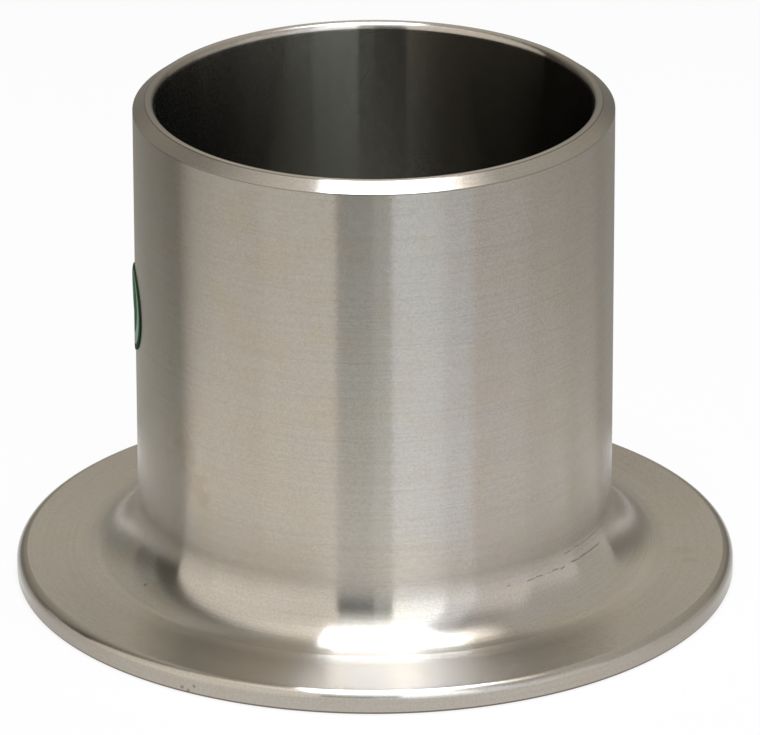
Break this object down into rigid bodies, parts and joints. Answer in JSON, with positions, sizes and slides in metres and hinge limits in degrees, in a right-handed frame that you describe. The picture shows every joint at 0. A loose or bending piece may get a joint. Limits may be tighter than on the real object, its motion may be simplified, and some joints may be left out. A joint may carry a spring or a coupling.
{
  "type": "pipe stub end",
  "caption": "Lap-joint stub end: a short thin-walled pipe with a wide flat collar at one end, a filleted root, and a bevelled edge for butt welding at the other.",
  "frame": {"origin": "centre of the gasket face, which lies on the floor", "axes": "+Z along the pipe's axis towards the weld end; -Y towards the viewer of the picture, so the round label is on the -X side"},
  "size_m": [0.0914, 0.0914, 0.0635],
  "materials": {
    "satin_stainless": "satin stainless steel, turned all over, with fine lines that run round the axis",
    "printed_paper": "satin white paper with a plain green ring and green field printed on it"
  },
  "bodies": {
    "root": {"stub_end": "satin_stainless", "round_label": "printed_paper"}
  },
  "joints": []
}
